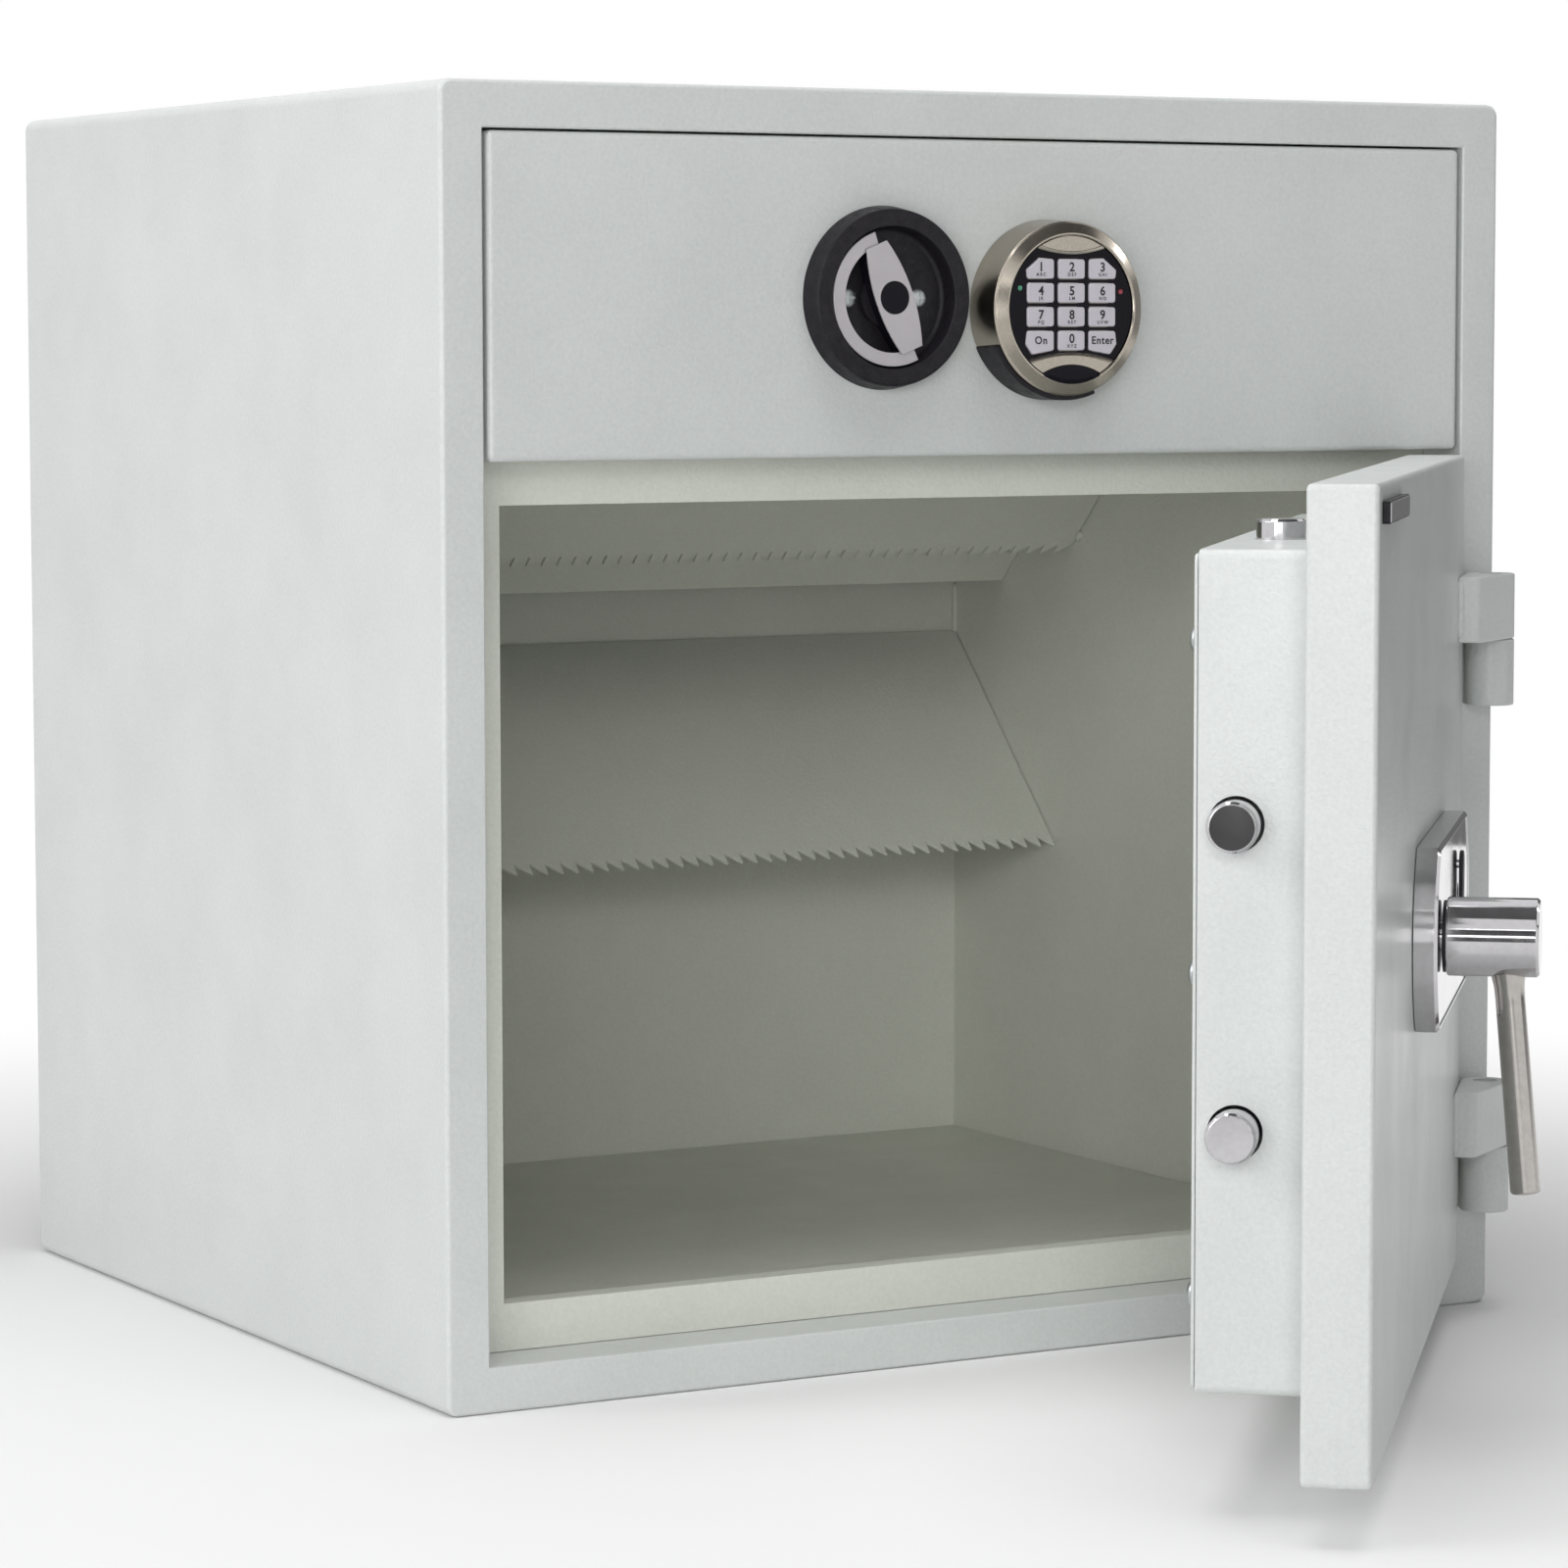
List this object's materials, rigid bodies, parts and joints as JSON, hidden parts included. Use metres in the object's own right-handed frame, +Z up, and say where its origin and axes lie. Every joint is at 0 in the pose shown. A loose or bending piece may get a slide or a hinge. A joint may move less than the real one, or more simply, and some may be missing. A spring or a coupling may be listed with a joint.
{
  "type": "drop safe with deposit drawer",
  "caption": "Steel drop safe with a hinged, bolted door below and a keypad-locked deposit drawer above whose floor tips its load into the compartment.",
  "frame": {"origin": "centre of the body's underside", "axes": "+X to the right seen from the front, +Y from the front to the back, +Z up; the door and drawer face -Y"},
  "size_m": [0.6005, 0.9538, 0.62],
  "materials": {
    "body_paint": "textured semi-gloss light grey paint",
    "inner_paint": "textured satin grey paint",
    "chrome": "polished chrome plate",
    "nickel": "satin nickel plate",
    "zinc": "bright zinc plate",
    "black_plastic": "fine-grained black moulding",
    "key_plastic": "light grey key caps",
    "silver_plastic": "silver-coated moulding"
  },
  "bodies": {
    "casing": {"casing_shell": "body_paint", "compartment_floor": "inner_paint", "inner_frame": "inner_paint", "chute_shelf": "inner_paint", "front_saw_plate": "inner_paint", "rear_saw_plate": "inner_paint", "left_runner_outer": "zinc", "right_runner_outer": "zinc", "left_runner_spacer": "zinc", "right_runner_spacer": "zinc", "lower_hinge_knuckle": "body_paint", "upper_hinge_knuckle": "body_paint", "lower_hinge_pin": "zinc", "upper_hinge_pin": "zinc"},
    "door": {"door_plate": "body_paint", "bolt_box": "body_paint", "bolt_box_cover": "body_paint", "cover_screw_1": "zinc", "cover_screw_2": "zinc", "cover_screw_3": "zinc", "lower_hinge_leaf": "body_paint", "upper_hinge_leaf": "body_paint", "handle_escutcheon": "chrome", "key_lock_case": "zinc"},
    "door_handle": {"handle_hub": "chrome", "handle_lever": "chrome", "handle_cam": "zinc"},
    "side_bolts": {"lower_side_bolt": "chrome", "upper_side_bolt": "chrome", "bolt_bar": "zinc"},
    "lifting_bolt": {"top_bolt": "chrome"},
    "keyhole_flap": {"keyhole_cover": "black_plastic"},
    "drawer": {"drawer_front": "body_paint", "drawer_tray": "inner_paint", "left_runner_inner": "zinc", "right_runner_inner": "zinc", "drawer_lock_case": "zinc", "knob_dish": "black_plastic", "keypad_housing": "nickel", "keypad_face": "black_plastic"},
    "drawer_floor": {"tipping_floor": "inner_paint", "tip_shaft": "zinc"},
    "drawer_gate": {"rear_gate": "inner_paint"},
    "middle_runners": {"left_runner_middle": "zinc", "right_runner_middle": "zinc"},
    "drawer_knob": {"knob_grip": "silver_plastic"},
    "lock_latch": {"drawer_latch": "zinc"},
    "button_1": {"key_1": "key_plastic"},
    "button_2": {"key_2": "key_plastic"},
    "button_3": {"key_3": "key_plastic"},
    "button_4": {"key_4": "key_plastic"},
    "button_5": {"key_5": "key_plastic"},
    "button_6": {"key_6": "key_plastic"},
    "button_7": {"key_7": "key_plastic"},
    "button_8": {"key_8": "key_plastic"},
    "button_9": {"key_9": "key_plastic"},
    "button_on": {"key_on": "key_plastic"},
    "button_0": {"key_0": "key_plastic"},
    "button_enter": {"key_enter": "key_plastic"}
  },
  "joints": [
    {"name": "door_hinge", "type": "hinge", "parent": "casing", "child": "door", "pos_m": [0.288, -0.2728, 0.21], "axis": [0, 0, 1], "range_deg": [-49.7, 130.3]},
    {"name": "handle_turn", "type": "hinge", "parent": "door", "child": "door_handle", "pos_m": [0.09415, -0.52798, 0.23], "axis": [-0.7627, 0.6468, 0], "range_deg": [0, 90]},
    {"name": "side_bolt_slide", "type": "slide", "parent": "door", "child": "side_bolts", "axis": [-0.6468, -0.7627, 0], "range_m": [0, 0.02]},
    {"name": "lifting_bolt_slide", "type": "slide", "parent": "door", "child": "lifting_bolt", "axis": [0, 0, 1], "range_m": [0, 0.018]},
    {"name": "flap_swing", "type": "hinge", "parent": "door", "child": "keyhole_flap", "pos_m": [0.15286, -0.43092, 0.252], "axis": [-0.7627, 0.6468, 0], "range_deg": [-100, 100]},
    {"name": "drawer_slide", "type": "slide", "parent": "casing", "child": "drawer", "axis": [0, -1, 0], "range_m": [0, 0.28]},
    {"name": "floor_tip", "type": "hinge", "parent": "drawer", "child": "drawer_floor", "pos_m": [0, 0.05, 0.47], "axis": [1, 0, 0], "range_deg": [0, 26]},
    {"name": "gate_swing", "type": "hinge", "parent": "drawer", "child": "drawer_gate", "pos_m": [0, 0.056, 0.572], "axis": [1, 0, 0], "range_deg": [0, 60]},
    {"name": "middle_runner_slide", "type": "slide", "parent": "casing", "child": "middle_runners", "axis": [0, -1, 0], "range_m": [0, 0.14]},
    {"name": "knob_turn", "type": "hinge", "parent": "drawer", "child": "drawer_knob", "pos_m": [-0.0656, -0.265, 0.5207], "axis": [0, 1, 0], "range_deg": [0, 90]},
    {"name": "latch_slide", "type": "slide", "parent": "drawer", "child": "lock_latch", "axis": [0, 0, 1], "range_m": [0, 0.012]},
    {"name": "press_1", "type": "slide", "parent": "drawer", "child": "button_1", "axis": [0, 1, 0], "range_m": [0, 0.001], "stiffness_N_per_m": 300, "springref_m": -0.001},
    {"name": "press_2", "type": "slide", "parent": "drawer", "child": "button_2", "axis": [0, 1, 0], "range_m": [0, 0.001], "stiffness_N_per_m": 300, "springref_m": -0.001},
    {"name": "press_3", "type": "slide", "parent": "drawer", "child": "button_3", "axis": [0, 1, 0], "range_m": [0, 0.001], "stiffness_N_per_m": 300, "springref_m": -0.001},
    {"name": "press_4", "type": "slide", "parent": "drawer", "child": "button_4", "axis": [0, 1, 0], "range_m": [0, 0.001], "stiffness_N_per_m": 300, "springref_m": -0.001},
    {"name": "press_5", "type": "slide", "parent": "drawer", "child": "button_5", "axis": [0, 1, 0], "range_m": [0, 0.001], "stiffness_N_per_m": 300, "springref_m": -0.001},
    {"name": "press_6", "type": "slide", "parent": "drawer", "child": "button_6", "axis": [0, 1, 0], "range_m": [0, 0.001], "stiffness_N_per_m": 300, "springref_m": -0.001},
    {"name": "press_7", "type": "slide", "parent": "drawer", "child": "button_7", "axis": [0, 1, 0], "range_m": [0, 0.001], "stiffness_N_per_m": 300, "springref_m": -0.001},
    {"name": "press_8", "type": "slide", "parent": "drawer", "child": "button_8", "axis": [0, 1, 0], "range_m": [0, 0.001], "stiffness_N_per_m": 300, "springref_m": -0.001},
    {"name": "press_9", "type": "slide", "parent": "drawer", "child": "button_9", "axis": [0, 1, 0], "range_m": [0, 0.001], "stiffness_N_per_m": 300, "springref_m": -0.001},
    {"name": "press_on", "type": "slide", "parent": "drawer", "child": "button_on", "axis": [0, 1, 0], "range_m": [0, 0.001], "stiffness_N_per_m": 300, "springref_m": -0.001},
    {"name": "press_0", "type": "slide", "parent": "drawer", "child": "button_0", "axis": [0, 1, 0], "range_m": [0, 0.001], "stiffness_N_per_m": 300, "springref_m": -0.001},
    {"name": "press_enter", "type": "slide", "parent": "drawer", "child": "button_enter", "axis": [0, 1, 0], "range_m": [0, 0.001], "stiffness_N_per_m": 300, "springref_m": -0.001}
  ],
  "couplings": [
    {"joint": "side_bolt_slide", "follows": "handle_turn", "m_per_rad": 0.012732},
    {"joint": "lifting_bolt_slide", "follows": "handle_turn", "m_per_rad": 0.011459},
    {"joint": "floor_tip", "follows": "drawer_slide", "rad_per_m": 1.6207},
    {"joint": "middle_runner_slide", "follows": "drawer_slide", "ratio": 0.5},
    {"joint": "latch_slide", "follows": "knob_turn", "m_per_rad": 0.0076394}
  ]
}
